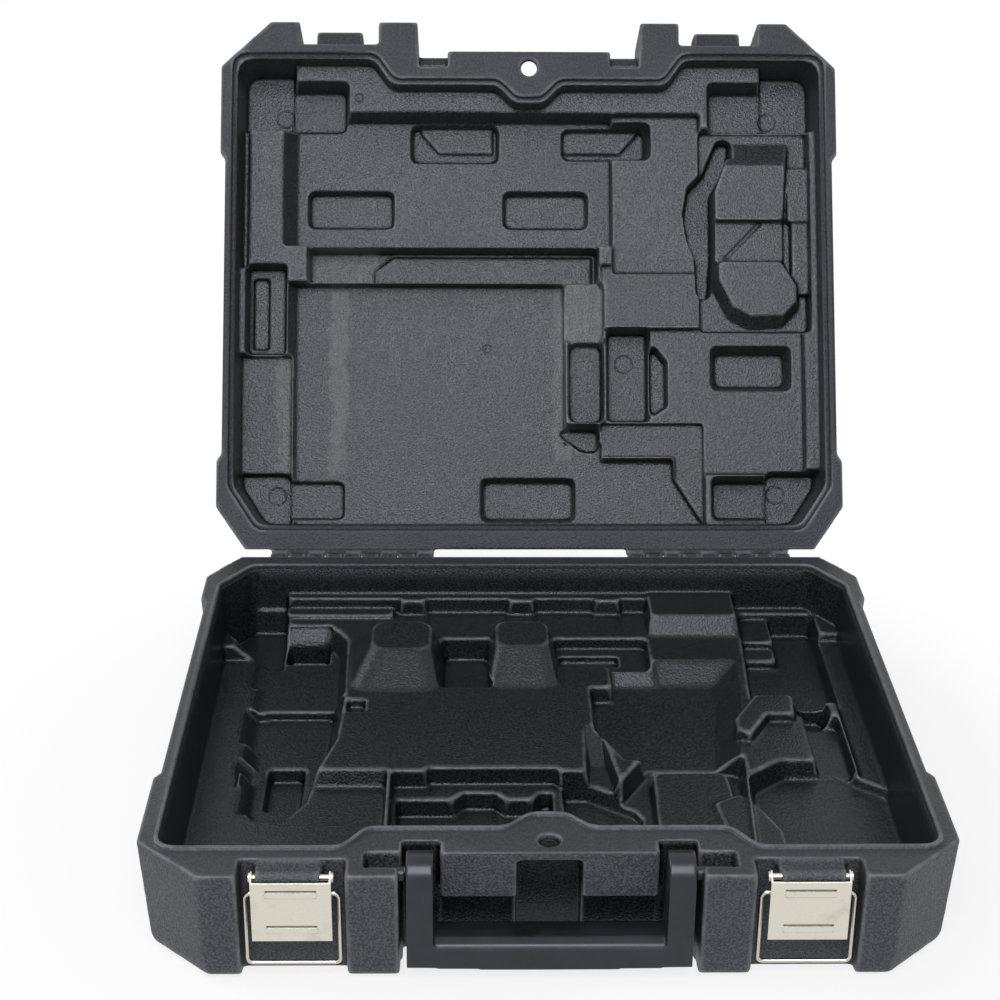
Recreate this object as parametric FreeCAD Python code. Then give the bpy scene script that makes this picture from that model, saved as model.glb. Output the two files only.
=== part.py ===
import FreeCAD, Part
import math
import os

Vector = FreeCAD.Vector

# A blow-moulded drill case, opened, with its lid leaning back on two rear hinges.
# Millimetres. X runs along the front, +Y points to the hinges, +Z is up.
# The origin is under the middle of the base, on the surface that it rests on.

# Overall sizes
case_width = 400.0
case_depth = 345.0
base_height = 63.0
lid_height = 47.0
lid_open_angle = 120.0
rim_gap = 0.4

# Moulded walls
wall = 2.0
flange_thickness = 5.0
side_draft = 3.5
base_edge_radius = 8.0
lid_edge_radius = 10.0
edge_steps = 3

# Plan outline: corners cut off, and corner guards that stand proud of the sides
front_chamfer_x = 32.0
front_chamfer_y = 30.0
rear_chamfer_x = 19.0
rear_chamfer_y = 27.0
guard_height = 3.0
guard_ramp = 4.0
front_guard_length = 58.0
rear_guard_length = 30.0

# Mouth of each half, set in from the outline, with a jog behind the handle and a padlock boss
mouth_side_inset = 10.5
mouth_front_inset = 24.0
mouth_middle_inset = 41.0
mouth_boss_inset = 53.0
mouth_rear_inset = 15.5
jog_outer_x = 101.0
jog_inner_x = 89.0
boss_foot_x = 21.0
boss_top_x = 9.0
mouth_rear_chamfer_x = 17.0
mouth_rear_chamfer_y = 26.0
mouth_corner_radius = 9.0
arc_steps = 3
mouth_draft = 0.085
feature_overlap = 1.5

# Sealing lip on the base and its rebate in the lid
lip_height = 2.0
lip_width = 2.2
lip_clearance = 0.8

# Padlock holes through both rims
padlock_hole_radius = 5.25
padlock_hole_inset = 30.5
padlock_recess_half_width = 16.0
padlock_recess_inset = 41.0
padlock_countersink = 1.0

# Latches: a stamped lever on a pin through a moulded barrel, with a wire bail
latch_x = 123.5
latch_recess_width = 51.0
latch_recess_depth = 15.0
latch_pin_inset = 6.5
latch_pin_drop = 4.8
latch_pin_radius = 1.5
latch_pin_head_radius = 2.4
latch_pin_head_thickness = 0.8
barrel_radius = 3.4
barrel_length = 32.0
barrel_offset = 1.5
barrel_web_height = 5.0
lever_width = 38.5
lever_length = 33.0
lever_thickness = 1.0
lever_face_gap = 4.2
ear_radius = 3.2
ear_foot_drop = 13.5
lever_rib_length = 25.0
lever_rib_width = 3.4
lever_rib_height = 0.7
lever_rib_margin = 6.5
bail_wire_radius = 1.1
bail_outer_width = 47.4
bail_length = 40.0
bail_pivot_drop = 9.3
bail_pivot_setback = 0.4
bail_corner_radius = 3.0
bail_tip_inset = 0.6
bail_bar_setback = 3.5

# Keepers on the lid, which the bails pull down
keeper_width = 30.0
keeper_lip_thickness = 4.0
keeper_lip_height = 3.0
keeper_bar_clearance = 0.6
keeper_foot_depth = 5.0
keeper_front_depth = 8.0

# Carrying handle on trunnions in open sockets of the base
handle_bay_half_width = 72.5
handle_bay_inset = 19.5
arm_notch_inner_x = 53.0
arm_notch_outer_x = 71.5
arm_notch_inset = 30.0
finger_recess_half_width = 53.5
finger_recess_inset = 31.5
finger_recess_height = 37.0
padlock_access_height = 58.0
handle_pivot_inset = 12.5
handle_pivot_drop = 7.0
handle_arm_inner_x = 56.0
handle_arm_width = 13.0
handle_arm_half_depth = 11.0
handle_bottom = 9.0
grip_height = 15.0
grip_crown = 5.0
grip_bow = 1.6
trunnion_radius = 3.5
trunnion_tip_x = 88.0
socket_clearance = 0.4
socket_front_room = 1.0
socket_rear_room = 4.5
socket_end_clearance = 1.2
lid_arm_notch_depth = 14.0

# Rear hinges: moulded knuckles on a steel pin
hinge_setback = 7.2
hinge_drop = 6.1
hinge_end_inset = 36.0
hinge_width = 103.0
hinge_segments = 9
knuckle_radius = 4.2
knuckle_gap = 0.4
hinge_pin_radius = 1.5
fixed_pin_clearance = 0.02
running_clearance = 0.05
apron_clearance = 0.5
apron_reach = 3.7
apron_drop = 1.7
apron_height = 9.0

# Levels that follow from the sizes above
front_y = -case_depth / 2
rear_y = case_depth / 2
half_width = case_width / 2
lid_rim = base_height + rim_gap
mouth_side = half_width - mouth_side_inset
mouth_front = front_y + mouth_front_inset
mouth_middle = front_y + mouth_middle_inset
mouth_rear = rear_y - mouth_rear_inset
hinge_y = rear_y + hinge_setback
hinge_inner_x = half_width - hinge_end_inset - hinge_width
hinge_z = base_height - hinge_drop
latch_pin_y = front_y + latch_pin_inset
latch_pin_z = base_height - latch_pin_drop
bail_pivot_y = latch_pin_y + bail_pivot_setback
bail_pivot_z = latch_pin_z - bail_pivot_drop
handle_pivot_y = front_y + handle_pivot_inset
handle_pivot_z = base_height - handle_pivot_drop


# Small helpers for prisms and tapered blocks with flat faces

def box(x_range, y_range, z_range):
    x0, x1 = min(x_range), max(x_range)
    y0, y1 = min(y_range), max(y_range)
    z0, z1 = min(z_range), max(z_range)
    return Part.makeBox(x1 - x0, y1 - y0, z1 - z0, Vector(x0, y0, z0))


def cylinder_x(radius, x0, x1, y, z):
    return Part.makeCylinder(radius, x1 - x0, Vector(x0, y, z), Vector(1, 0, 0))


def rectangle(x_range, y_range):
    x0, x1 = min(x_range), max(x_range)
    y0, y1 = min(y_range), max(y_range)
    return [(x0, y0), (x1, y0), (x1, y1), (x0, y1)]


def inset_outline(points, distance):
    """Moves each side of a counter-clockwise outline inwards by the distance."""
    moved = []
    count = len(points)
    for i in range(count):
        before = unit(points[i - 1], points[i])
        after = unit(points[i], points[(i + 1) % count])
        turn = 1 + before[0] * after[0] + before[1] * after[1]
        shift_x = -(before[1] + after[1]) * distance / turn
        shift_y = (before[0] + after[0]) * distance / turn
        moved.append((points[i][0] + shift_x, points[i][1] + shift_y))
    return moved


def unit(start, end):
    dx = end[0] - start[0]
    dy = end[1] - start[1]
    length = math.hypot(dx, dy)
    return dx / length, dy / length


def rounded_outline(points, radius, steps):
    """Replaces each corner by a round stretch of that radius, drawn in short chords."""
    result = []
    count = len(points)
    for i in range(count):
        corner = points[i]
        before = unit(points[i - 1], corner)
        after = unit(corner, points[(i + 1) % count])
        turn = math.atan2(before[0] * after[1] - before[1] * after[0],
                          before[0] * after[0] + before[1] * after[1])
        room = 0.45 * min(math.dist(points[i - 1], corner), math.dist(corner, points[(i + 1) % count]))
        tangent = min(radius * abs(math.tan(turn / 2)), room)
        bend = tangent / abs(math.tan(turn / 2))
        side = math.copysign(1, turn)
        centre_x = corner[0] - before[0] * tangent - side * before[1] * bend
        centre_y = corner[1] - before[1] * tangent + side * before[0] * bend
        start = math.atan2(before[1], before[0]) - side * math.pi / 2
        for step in range(steps + 1):
            angle = start + turn * step / steps
            result.append((centre_x + bend * math.cos(angle), centre_y + bend * math.sin(angle)))
    return result


def stack(sections):
    """A closed solid with flat faces through outlines of equal count, given as (points, z)."""
    rings = [[Vector(x, y, z) for x, y in points] for points, z in sections]
    faces = [flat_face(rings[0]), flat_face(rings[-1])]
    for low, high in zip(rings, rings[1:]):
        for i in range(len(low)):
            faces.append(flat_face([low[i - 1], low[i], high[i], high[i - 1]]))
    solid = Part.makeSolid(Part.makeShell(faces))
    if solid.Volume < 0:
        solid.reverse()
    return solid


def flat_face(corners):
    return Part.Face(Part.makePolygon(corners + [corners[0]]))


def prism_x(profile, x0, x1):
    """Extrudes an outline of (y, z) points along X."""
    face = flat_face([Vector(x0, y, z) for y, z in profile])
    return face.extrude(Vector(x1 - x0, 0, 0))


def both_sides(x_range):
    """The same X range on the left and on the right."""
    return [(-x_range[1], -x_range[0]), (x_range[0], x_range[1])]


def mirrored_outline(right_half):
    """Completes an outline given from the front middle, round the right, to the rear."""
    left_half = [(-x, y) for x, y in reversed(right_half)]
    return right_half + left_half


# Plan outlines of the case and of its mouth

def case_outline(inset):
    waist = half_width - guard_height
    front_guard_end = front_y + front_chamfer_y + front_guard_length
    rear_guard_start = rear_y - rear_chamfer_y - rear_guard_length
    right_half = [
        (half_width - front_chamfer_x, front_y),
        (half_width, front_y + front_chamfer_y),
        (half_width, front_guard_end),
        (waist, front_guard_end + guard_ramp),
        (waist, rear_guard_start - guard_ramp),
        (half_width, rear_guard_start),
        (half_width, rear_y - rear_chamfer_y),
        (half_width - rear_chamfer_x, rear_y),
    ]
    return inset_outline(mirrored_outline(right_half), inset)


def mouth_outline(inset):
    boss = front_y + mouth_boss_inset
    right_half = [
        (boss_top_x, boss),
        (boss_foot_x, mouth_middle),
        (jog_inner_x, mouth_middle),
        (jog_outer_x, mouth_front),
        (mouth_side, mouth_front),
        (mouth_side, mouth_rear - mouth_rear_chamfer_y),
        (mouth_side - mouth_rear_chamfer_x, mouth_rear),
    ]
    moved = inset_outline(mirrored_outline(right_half), inset)
    return rounded_outline(moved, mouth_corner_radius, arc_steps)


def rounded_block(rim_z, height, edge_radius, inset):
    """The body of one half from its rim to its rounded outer edge; height is signed."""
    direction = math.copysign(1, height)
    sections = [(case_outline(inset), rim_z)]
    straight = abs(height) - edge_radius
    for step in range(edge_steps + 1):
        angle = math.pi / 2 * step / edge_steps
        depth = straight + edge_radius * math.sin(angle)
        lean = side_draft + edge_radius * (1 - math.cos(angle))
        sections.append((case_outline(inset + lean), rim_z + direction * depth))
    return stack(sections)


# Tray features: each is an outline that narrows towards its floor

def feature(outline, top, floor, radius, slope):
    """A pocket, or an island if its floor is the shallower; depths are below the rim."""
    lean = abs(floor - top) * slope
    return tapered(outline, inset_outline(outline, lean), top, floor, radius)


def leaning_feature(sides, top, floor, radius):
    """A pocket or an island from (x, y, lean) corners; each lean is that of the side that starts there."""
    outline = [(x, y) for x, y, lean in sides]
    floor_outline = []
    for i, (x, y, lean) in enumerate(sides):
        before = unit(outline[i - 1], outline[i])
        after = unit(outline[i], outline[(i + 1) % len(outline)])
        cross = before[0] * after[1] - before[1] * after[0]
        lean_before = sides[i - 1][2]
        floor_outline.append((x + (lean_before * after[0] - lean * before[0]) / cross,
                              y + (lean_before * after[1] - lean * before[1]) / cross))
    return tapered(outline, floor_outline, top, floor, radius)


def tapered(outline, floor_outline, top, floor, radius):
    return {"outline": outline, "floor_outline": floor_outline, "top": top, "floor": floor, "radius": radius}


def feature_solid(item, rim_z, direction, grow):
    """The space of a pocket, or the material of an island; grow widens it all round."""
    way = math.copysign(1, item["floor"] - item["top"])
    start = item["top"] - way * (feature_overlap + abs(grow))
    end = item["floor"] + way * grow
    outline = inset_outline(fitted(item["outline"]), -grow)
    floor_outline = inset_outline(fitted(item["floor_outline"]), -grow)
    rings = [(outline, start), (outline, item["top"]), (floor_outline, end)]
    return stack([(rounded_outline(ring, item["radius"], arc_steps), rim_z + direction * depth)
                  for ring, depth in rings])


def mouth_column(rim_z, direction, depth, grow):
    """The drafted space under the mouth, down to a depth."""
    return stack([
        (mouth_outline(-grow), rim_z),
        (mouth_outline(depth * mouth_draft - grow), rim_z + direction * depth),
    ])


def cavity(rim_z, height, main_depth, layers, grow):
    """The open space of one half: its mouth, with layers of pockets sunk and islands left in turn."""
    direction = math.copysign(1, height)
    hollow = mouth_column(rim_z, direction, main_depth + grow, grow)
    for kind, items in layers:
        if kind == "islands":
            hollow = hollow.cut([feature_solid(item, rim_z, direction, -grow) for item in items])
        else:
            hollow = hollow.fuse([feature_solid(item, rim_z, direction, grow) for item in items])
    return hollow.common(mouth_column(rim_z, direction, abs(height), grow)).removeSplitter()


# The trays are drawn in a mouth of these sizes, and fitted to the mouth of the case

drawn_side = 189.5
drawn_front = -148.5
drawn_middle = -131.5
drawn_rear = 157.0


def from_left(distance):
    return -drawn_side + distance


def from_right(distance):
    return drawn_side - distance


def from_front(distance):
    return drawn_front + distance


def from_middle(distance):
    return drawn_middle + distance


def from_rear(distance):
    return drawn_rear - distance


def fitted(points):
    """Moves points from the drawn mouth to the mouth of the case."""
    across = mouth_side / drawn_side
    along = (mouth_rear - mouth_front) / (drawn_rear - drawn_front)
    return [(x * across, mouth_front + (y - drawn_front) * along) for x, y in points]


def block(x_range, y_range, top, floor, radius=3.0, slope=0.15):
    return feature(rectangle(x_range, y_range), top, floor, radius, slope)


# Tray of the base: a raised middle with two towers, a stepped cradle on the left, and pockets

plateau = 28.0
side_floor = 38.0
pocket_ledge = 39.0
deep_floor = 47.0


def base_layers():
    towers = [
        leaning_feature([
            (-108, 52, 22),
            (-56, 52, 5),
            (-56, 114, 5),
            (-108, 114, 12),
        ], plateau, 12, 9),
        leaning_feature([
            (-28, 56, 22),
            (13, 56, 5),
            (13, 114, 5),
            (-28, 114, 5),
        ], plateau, 12, 7),
    ]
    rear_ledges = [
        block((from_left(38), from_right(65)), (from_rear(8), from_rear(-6)), plateau, 18, 2, 0.1),
        block((from_left(38), from_left(104)), (from_rear(16), from_rear(-6)), plateau, 25, 2, 0.1),
        leaning_feature([
            (70, from_rear(39), 8),
            (126, from_rear(39), 2),
            (126, from_rear(-6), 0),
            (70, from_rear(-6), 2),
        ], plateau, 17, 2),
    ]
    for start in (-82, -15, 38):
        rear_ledges.append(block((start, start + 17), (from_rear(11), from_rear(-6)), plateau, 18, 1.5, 0.1))
    front_left_floor = leaning_feature([
        (from_left(0), from_front(0), 0),
        (-jog_outer_x + 1, from_front(0), 0),
        (-jog_inner_x + 1, from_middle(0), 0),
        (-83, from_middle(0), 1),
        (-83, from_front(117), 4),
        (from_left(0), from_front(117), 0),
    ], plateau, side_floor, 2)
    left_strip = block((from_left(0), from_left(26)), (from_front(110), from_rear(50)),
                       plateau, side_floor, 3, 0.1)
    cradle_front = leaning_feature([
        (from_left(35.5), from_front(70), 22),
        (from_left(51.5), from_front(70), 8),
        (from_left(65.5), from_front(94), 5),
        (from_left(68.5), from_front(115), 6),
        (from_left(77.5), from_front(149), 7),
        (from_left(79.5), from_front(199), 0),
        (from_left(23.5), from_front(199), 10),
        (from_left(23.5), from_front(91), 12),
    ], plateau, deep_floor, 4)
    cradle_rear = leaning_feature([
        (from_left(24), from_front(190), 0),
        (from_left(79.5), from_front(190), 5),
        (from_left(77.5), from_rear(42), 5),
        (from_left(67.5), from_rear(24), 7),
        (from_left(24), from_rear(24), 10),
    ], plateau, 41, 12)
    cradle_wall = []
    for start, end, inset in (
        (222, 270, 9),
        (197, 224, 12.5),
        (160, 198, 12.5),
        (143, 161, 16),
        (126, 144, 13.5),
        (88, 127, 19),
    ):
        floor = 41 if start > 190 else deep_floor
        cradle_wall.append(leaning_feature([
            (from_left(inset), from_front(start), 0.5),
            (from_left(50), from_front(start), 0),
            (from_left(50), from_front(end), 0.5),
            (from_left(inset), from_front(end), 16),
        ], plateau, floor, 2.5))
    rear_left_corner = leaning_feature([
        (from_left(23.5), from_rear(60), 3),
        (from_left(39.5), from_rear(60), 1),
        (from_left(39.5), from_rear(4), 2),
        (from_left(0), from_rear(4), 0),
        (from_left(0), from_rear(28), 8),
    ], plateau, 44, 3)
    front_pocket = feature([
        (-81, from_middle(3)),
        (-boss_foot_x - 2, from_middle(3)),
        (-boss_top_x - 3, from_middle(15)),
        (boss_top_x + 3, from_middle(15)),
        (28, from_middle(70)),
        (8, from_middle(101)),
        (-62, from_middle(101)),
        (-62, from_middle(98)),
        (-81, from_middle(98)),
    ], plateau, pocket_ledge, 2.5, 0.06)
    right_pocket = leaning_feature([
        (46, from_front(126), 1),
        (110, from_front(126), 14),
        (119, from_front(196), 14),
        (120, from_rear(68), 13),
        (70, from_rear(68), 2),
        (70, from_rear(73), 10),
        (44, from_rear(73), 1),
        (44, from_rear(100), 1),
        (31, from_rear(100), 2),
        (31, from_front(160), 4),
    ], plateau, pocket_ledge, 2)
    between_towers = block((-56, -25), (from_rear(100), from_rear(40)), plateau, 43, 4, 0.12)
    rear_slot = block((12, 69), (from_rear(76), from_rear(40)), plateau, 36, 4, 0.12)
    front_middle = feature([
        (40, from_middle(3)),
        (jog_inner_x - 1, from_middle(3)),
        (jog_outer_x + 4, from_front(14)),
        (112, from_front(132)),
        (58, from_front(132)),
        (40, from_front(100)),
    ], plateau, 42, 5, 0.15)
    front_right_floor = feature([
        (jog_outer_x - 1, from_front(0)),
        (from_right(0), from_front(0)),
        (from_right(0), from_front(104)),
        (from_right(28), from_front(126)),
        (from_right(58.5), from_front(126)),
        (from_right(78.5), from_front(110)),
        (from_right(81.5), from_front(50)),
    ], plateau, 40, 9, 0.3)
    side_hole = block((from_right(42.5), from_right(22.5)), (from_front(171), from_front(190)),
                      plateau, 44, 5, 0.15)
    right_channel = block((from_right(39.5), from_right(18)), (from_front(116), from_front(174)),
                          plateau, 38, 3, 0.15)
    right_strip = block((from_right(18), from_right(0)), (from_front(90), from_rear(34)),
                        plateau, 34, 3, 0.2)
    right_rear_floor = leaning_feature([
        (from_right(66.5), from_front(188), 3),
        (from_right(14), from_front(188), 2),
        (from_right(14), from_rear(8), 2),
        (from_right(61.5), from_rear(8), 3),
    ], plateau, 44, 4)
    right_rear_steps = [
        block((from_right(63.5), from_right(41.5)), (from_rear(38), from_rear(4)), 44, 33, 2, 0.12),
        block((from_right(63.5), from_right(41.5)), (from_rear(52), from_rear(30)), 44, 38, 4, 0.12),
    ]
    small_hole = block((-109, -98), (from_front(178), from_front(192)), plateau, 34, 2, 0.15)
    right_blocks = [
        feature([
            (58, from_front(20)),
            (92, from_front(20)),
            (104, from_front(82)),
            (102, from_front(121)),
            (60, from_front(121)),
        ], 43, 33, 4, 0.1),
        feature([
            (100, from_front(8)),
            (127, from_front(2)),
            (125, from_front(60)),
            (115, from_front(84)),
            (106, from_front(97)),
            (89, from_front(87)),
        ], 43, 30, 3, 0.12),
        feature([
            (117, from_front(139)),
            (130, from_front(163)),
            (146, from_front(163)),
            (148, from_front(188)),
            (123, from_front(188)),
            (108, from_front(160)),
            (108, from_front(148)),
        ], pocket_ledge, 22, 2, 0.12),
    ]
    cradle_hole = block((from_left(39), from_left(60)), (from_front(104), from_front(147)), 46, 56, 3, 0.1)
    cradle_notch = leaning_feature([
        (from_left(39.5), from_rear(62), 1),
        (from_left(67.5), from_rear(62), 3),
        (from_left(67.5), from_rear(23), 9),
        (from_left(39.5), from_rear(23), 0),
    ], 30, 40, 3)
    cradle_notch_hole = block((from_left(39.5), from_left(66.5)), (from_rear(50), from_rear(30)),
                              37, 52, 3, 0.08)
    front_well = feature([
        (-78, from_middle(5)),
        (-boss_foot_x - 3, from_middle(5)),
        (-boss_top_x - 4, from_middle(18)),
        (6, from_middle(18)),
        (6, from_middle(93)),
        (-1, from_middle(93)),
        (-5, from_middle(86)),
        (-19, from_middle(86)),
        (-25, from_middle(93)),
        (-42, from_middle(93)),
        (-48, from_middle(86)),
        (-78, from_middle(86)),
    ], pocket_ledge, 50, 1.5, 0.05)
    arrow_pocket = leaning_feature([
        (12, from_middle(20), 2),
        (42, from_middle(20), 4),
        (57, from_middle(70), 4),
        (52, from_middle(82), 5),
        (29, from_middle(98), 3),
        (10, from_middle(98), 2),
    ], plateau, deep_floor, 2)
    plateau_facet = leaning_feature([
        (24, from_middle(94), 0),
        (42, from_middle(88), 2),
        (34, from_middle(146), 30),
        (26, from_middle(146), 2),
    ], plateau, 37, 1)
    slot_well = block((15, 51), (from_rear(62), from_rear(49)), 36, 41, 2, 0.1)
    return [
        ("islands", towers + rear_ledges),
        ("pockets", [front_left_floor, left_strip, cradle_front, cradle_rear, rear_left_corner,
                     front_pocket, right_pocket, between_towers, rear_slot, front_middle,
                     front_right_floor, right_rear_floor, arrow_pocket, plateau_facet, side_hole,
                     right_channel, right_strip, small_hole] + cradle_wall),
        ("islands", right_blocks + right_rear_steps),
        ("pockets", [cradle_hole, cradle_notch, cradle_notch_hole, front_well, slot_well]),
    ]


# Tray of the lid: two wide fields with a trench between them, corner pockets and sunk wells

terrace = 15.0
field = 32.0
well = 40.0
corner_floor = 37.0
mark_radius = 5.8
mark_depth = 0.5
blow_hole_radius = 2.6


def lid_fields():
    """The wide floors, from the front left to the rear right."""
    upper_field = leaning_feature([
        (from_left(29), from_front(32), 3),
        (56, from_front(32), 2),
        (56, from_front(121), 1),
        (from_left(29), from_front(121), 8.5),
    ], terrace, field, 2)
    trench = block((from_left(45), 46), (from_front(121), from_front(144.5)), terrace, 38, 2, 0.05)
    lower_field = leaning_feature([
        (from_left(29), from_front(144.5), 1),
        (24, from_front(144.5), 1),
        (24, from_rear(0), 0.5),
        (from_left(29), from_rear(0), 9),
    ], terrace, field, 2)
    left_pocket = block((from_left(5), from_left(32.5)), (from_front(133), from_front(193)),
                        terrace, 30, 3, 0.12)
    left_strip = block((from_left(0), from_left(36)), (from_front(192), from_rear(0)), terrace, 29, 2, 0.05)
    left_gutter = block((from_left(0), from_left(7)), (from_front(40), from_front(136)), terrace, 26, 2, 0.1)
    upper_right = block((54, 113), (from_front(32), from_front(139.5)), terrace, 22, 2, 0.2)
    middle_right = block((46, 113), (from_front(133), from_front(174.5)), terrace, 19, 2, 0.2)
    inner_step = block((20, 50), (from_front(142), from_front(185)), terrace, 27, 6, 0.12)
    right_strip = block((111, from_right(5)), (from_front(42), from_front(178)), terrace, 27, 3, 0.12)
    right_field = feature([
        (48, from_front(174)),
        (from_right(10), from_front(174)),
        (from_right(10), from_rear(34)),
        (112, from_rear(34)),
        (112, from_rear(67)),
        (48, from_rear(67)),
    ], terrace, 23, 2, 0.15)
    lower_band = feature([
        (46, from_rear(69)),
        (114, from_rear(69)),
        (114, from_rear(0)),
        (94, from_rear(0)),
        (94, from_rear(46)),
        (46, from_rear(46)),
    ], terrace, 26, 2, 0.06)
    lower_corner = leaning_feature([
        (18, from_rear(49), 5),
        (94, from_rear(49), 1),
        (95, from_rear(33), 1),
        (116, from_rear(0), 0),
        (18, from_rear(0), 0),
    ], terrace, field, 1.5)
    lower_middle = block((18, 48), (from_rear(57), from_rear(40)), terrace, field, 2, 0.05)
    return [upper_field, trench, lower_field, left_pocket, left_strip, left_gutter, upper_right,
            middle_right, inner_step, right_strip, right_field, lower_band, lower_corner, lower_middle]


def lid_blocks():
    """Raised forms on the right of the lid, a panel in the trench and a ledge beside the wall."""
    motor_block = leaning_feature([
        (from_right(56.5), from_front(48.5), 19),
        (from_right(17.5), from_front(48.5), 3),
        (from_right(20.5), from_front(104.5), 1),
        (from_right(69.5), from_front(104.5), 2),
        (from_right(69.5), from_front(84.5), 2),
    ], 28, 14, 2)
    panel = block((from_right(69.5), from_right(22)), (from_front(103), from_front(131)), 28, 20, 2, 0.1)
    lower_block = leaning_feature([
        (from_right(68), from_front(130), 1),
        (from_right(22), from_front(130), 3),
        (from_right(12), from_front(146), 3),
        (from_right(12), from_front(161), 5),
        (from_right(24), from_front(174), 8),
        (from_right(46), from_front(175), 8),
        (from_right(59), from_front(168), 6),
        (from_right(68), from_front(150), 3),
    ], 28, 15, 3)
    ledges = [
        block((from_right(20), from_right(-2)), (from_front(67), from_front(104)), 28, 20, 2, 0.1),
        block((from_right(17), from_right(-2)), (from_front(102), from_front(152)), 28, 22, 2, 0.1),
    ]
    trench_panel = feature([
        (from_left(101), from_front(124.5)),
        (42, from_front(124.5)),
        (42, from_front(143)),
        (from_left(88), from_front(143)),
        (from_left(88), from_front(134)),
    ], 38, 35, 1, 0.3)
    return [motor_block, panel, lower_block, trench_panel] + ledges


def lid_wells():
    """Sunk wells: corner pads, finger wells, bit pockets and a curved channel."""
    wells = []
    for x0, x1 in both_sides((from_right(37.5), from_right(-3))):
        wells.append(block((x0, x1), (from_front(-3), from_front(44)), terrace, corner_floor, 6, 0.12))
        wells.append(block((x0, x1), (from_rear(38), from_rear(-3)), terrace, corner_floor, 5, 0.12))
    for x0, x1 in both_sides((from_right(72), from_right(22))):
        wells.append(block((x0, x1), (from_front(11), from_front(44)), terrace, corner_floor - 1, 4, 0.14))
        wells.append(block((x0, x1), (from_rear(33.5), from_rear(4)), terrace, corner_floor - 1, 4, 0.14))
    for x0, x1, start, top in (
        (-78, -19, 36, 31),
        (20, 81, 36, 21),
        (-145.5, -88, 80.5, 31),
        (-17, 40, 80.5, 31),
    ):
        wells.append(block((x0, x1), (from_front(start), from_front(start + 26)), top, well, 4, 0.2))
    wells.append(block((-32, 31), (from_rear(34), from_rear(4.5)), 31, well, 4, 0.3))
    wells.append(block((from_right(71.5), from_right(17)), (from_front(185), from_front(216)),
                       21, 37, 4, 0.3))
    wells.append(block((25, 50), (from_front(182), from_front(237.5)), terrace, 36, 5, 0.1))
    wells.append(block((50, 80), (from_front(174), from_front(236.5)), 18, 38, 3, 0.12))
    wells.append(block((from_left(9), from_left(20)), (from_front(140), from_front(188)), 30, 34, 2, 0.1))
    notch = feature([
        (78, from_front(180)),
        (91, from_front(196)),
        (91, from_front(226)),
        (78, from_front(235)),
    ], 21, 34, 3, 0.12)
    half_round = feature([
        (18, from_front(238)),
        (48, from_front(238)),
        (48, from_front(259)),
        (33, from_front(257)),
        (18, from_front(246)),
    ], terrace, 35, 4, 0.15)
    channel = feature([
        (from_right(65.5), from_front(46)),
        (from_right(53.5), from_front(46)),
        (from_right(56), from_front(66)),
        (from_right(67), from_front(85)),
        (from_right(67), from_front(128)),
        (from_right(69), from_front(155)),
        (from_right(80), from_front(155)),
        (from_right(81), from_front(128)),
        (from_right(86), from_front(115)),
        (from_right(88.5), from_front(98)),
        (from_right(85.5), from_front(80)),
        (from_right(75), from_front(69)),
    ], 20, well - 2, 5, 0.1)
    panel_groove = feature([
        (from_right(39.5), from_front(104)),
        (from_right(34.5), from_front(104)),
        (from_right(58.5), from_front(129)),
        (from_right(63.5), from_front(129)),
    ], 20, 21.5, 0.3, 0.2)
    return wells + [notch, half_round, channel, panel_groove]


def finger_well_panels():
    """Raised panels with a slanted end in the two front wells."""
    slant = 14
    left = [
        (-73, from_front(38)),
        (-23, from_front(38)),
        (-23, from_front(54)),
        (-73 + slant, from_front(54)),
    ]
    right = [
        (24, from_front(38)),
        (75, from_front(38)),
        (75 - slant, from_front(54)),
        (24, from_front(54)),
    ]
    return [feature(outline, well, well - 2.5, 1, 0.3) for outline in (left, right)]


def lid_layers():
    return [
        ("pockets", lid_fields()),
        ("islands", lid_blocks()),
        ("pockets", lid_wells()),
        ("islands", finger_well_panels()),
    ]


def lid_marks():
    """Round mould marks, sunk in the floors of the lid, and the blow hole."""
    spots = [
        (from_left(28.5), from_front(31), corner_floor, mark_radius),
        (from_right(29.5), from_front(32), corner_floor, mark_radius),
        (from_left(25.5), from_rear(22), corner_floor, mark_radius),
        (from_right(27.5), from_rear(23), corner_floor, mark_radius),
        (63, from_front(195.5), 38, mark_radius),
        (from_left(78.5), from_front(22.5), terrace, blow_hole_radius),
        (-27, from_front(186.5), field, blow_hole_radius),
    ]
    marks = []
    for drawn_x, drawn_y, depth, radius in spots:
        x, y = fitted([(drawn_x, drawn_y)])[0]
        marks.append(Part.makeCylinder(radius, mark_depth + feature_overlap,
                                       Vector(x, y, lid_rim + depth - feature_overlap)))
    return marks


# Recesses in the outside of both halves; grow widens them for the hollow behind the walls

def outer_recesses(z_range, arm_notch_z, access_z, grow):
    z0, z1 = min(z_range), max(z_range)
    outside = front_y - mouth_front_inset
    recesses = [box((-handle_bay_half_width - grow, handle_bay_half_width + grow),
                    (outside, front_y + handle_bay_inset + grow), (z0, z1))]
    latch_half = latch_recess_width / 2 + grow
    for side in (-1, 1):
        recesses.append(box((side * latch_x - latch_half, side * latch_x + latch_half),
                            (outside, front_y + latch_recess_depth + grow), (z0, z1)))
    for x0, x1 in both_sides((arm_notch_inner_x, arm_notch_outer_x)):
        recesses.append(box((x0 - grow, x1 + grow), (outside, front_y + arm_notch_inset + grow),
                            (arm_notch_z[0] - grow, arm_notch_z[1] + grow)))
    recesses.append(box((-padlock_recess_half_width - grow, padlock_recess_half_width + grow),
                        (outside, front_y + padlock_recess_inset + grow),
                        (access_z[0] - grow, access_z[1] + grow)))
    return recesses


def finger_recess(grow):
    return box((-finger_recess_half_width - grow, finger_recess_half_width + grow),
               (front_y - mouth_front_inset, front_y + finger_recess_inset + grow),
               (-feature_overlap, finger_recess_height + grow))


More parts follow.
